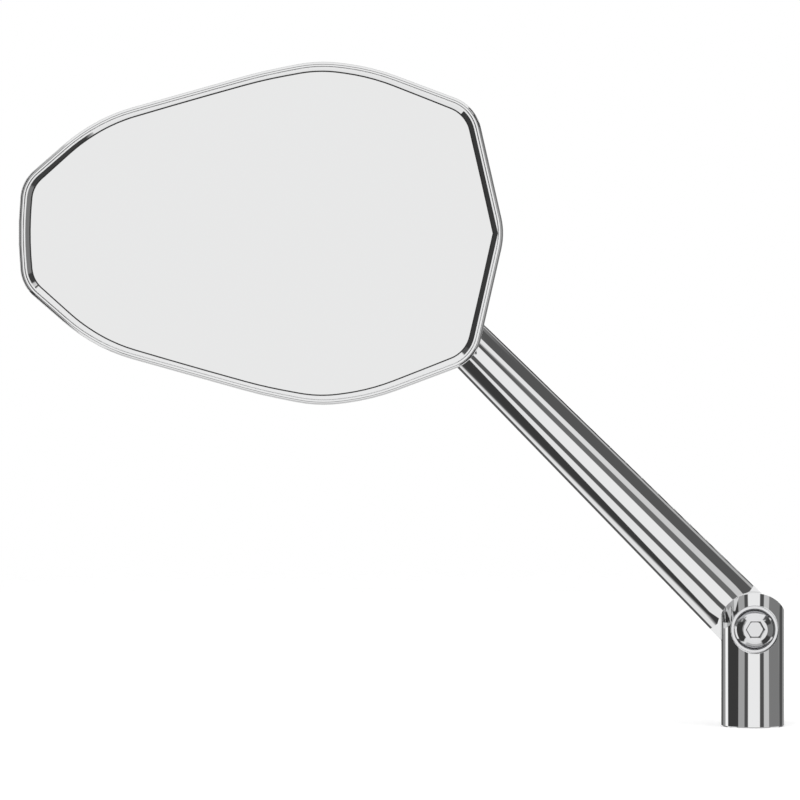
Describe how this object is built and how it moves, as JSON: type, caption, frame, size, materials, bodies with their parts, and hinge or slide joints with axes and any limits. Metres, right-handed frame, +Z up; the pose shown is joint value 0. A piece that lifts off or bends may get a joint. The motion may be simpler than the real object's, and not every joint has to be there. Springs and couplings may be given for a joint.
{
  "type": "motorcycle mirror",
  "caption": "Chrome handlebar mirror: a faceted head with bevelled bezel and convex glass on a ball stud, a tapered round stem and a threaded swivel stub.",
  "frame": {"origin": "centre of the stub's bottom face, where the threaded hole opens", "axes": "+Z up along the stub's axis, +X to the right and +Y away from a person who looks into the glass"},
  "size_m": [0.1925, 0.039, 0.167],
  "materials": {
    "chrome": "polished chrome plate",
    "polished_steel": "bright polished steel",
    "plain_steel": "plain zinc-plated steel",
    "acetal": "smooth off-white acetal",
    "mirror": "silvered convex glass",
    "gasket": "black rubber",
    "foam": "black adhesive foam",
    "carrier": "black moulded plastic"
  },
  "bodies": {
    "base": {"base_stub": "chrome", "pivot_friction_washer": "acetal", "pivot_disc_spring": "plain_steel", "pivot_washer": "polished_steel"},
    "stem": {"stem": "chrome", "pivot_screw": "polished_steel", "stud_lock_washer": "plain_steel", "ball_stud": "polished_steel"},
    "rear_liner": {"rear_ball_liner": "acetal"},
    "front_liner": {"front_ball_liner": "acetal"},
    "head": {"head_shell": "chrome", "bezel_ring": "chrome", "mirror_glass": "mirror", "glass_edge_gasket": "gasket", "foam_pad": "foam", "carrier_plate": "carrier", "pressure_plate": "plain_steel", "plate_spring_washers": "plain_steel", "plate_screws": "plain_steel"}
  },
  "joints": [
    {"name": "stem_swivel", "type": "hinge", "parent": "base", "child": "stem", "pos_m": [0, 0, 0.025], "axis": [0, 1, 0], "range_deg": [-20, 110]},
    {"name": "head_turn", "type": "hinge", "parent": "stem", "child": "rear_liner", "pos_m": [-0.09949, -0.0185, 0.12449], "axis": [0, 1, 0], "range_deg": [-30, 30]},
    {"name": "head_pitch", "type": "hinge", "parent": "rear_liner", "child": "front_liner", "pos_m": [-0.09949, -0.0185, 0.12449], "axis": [1, 0, 0], "range_deg": [-10, 10]},
    {"name": "head_yaw", "type": "hinge", "parent": "front_liner", "child": "head", "pos_m": [-0.09949, -0.0185, 0.12449], "axis": [0, 0, 1], "range_deg": [-10, 10]}
  ]
}
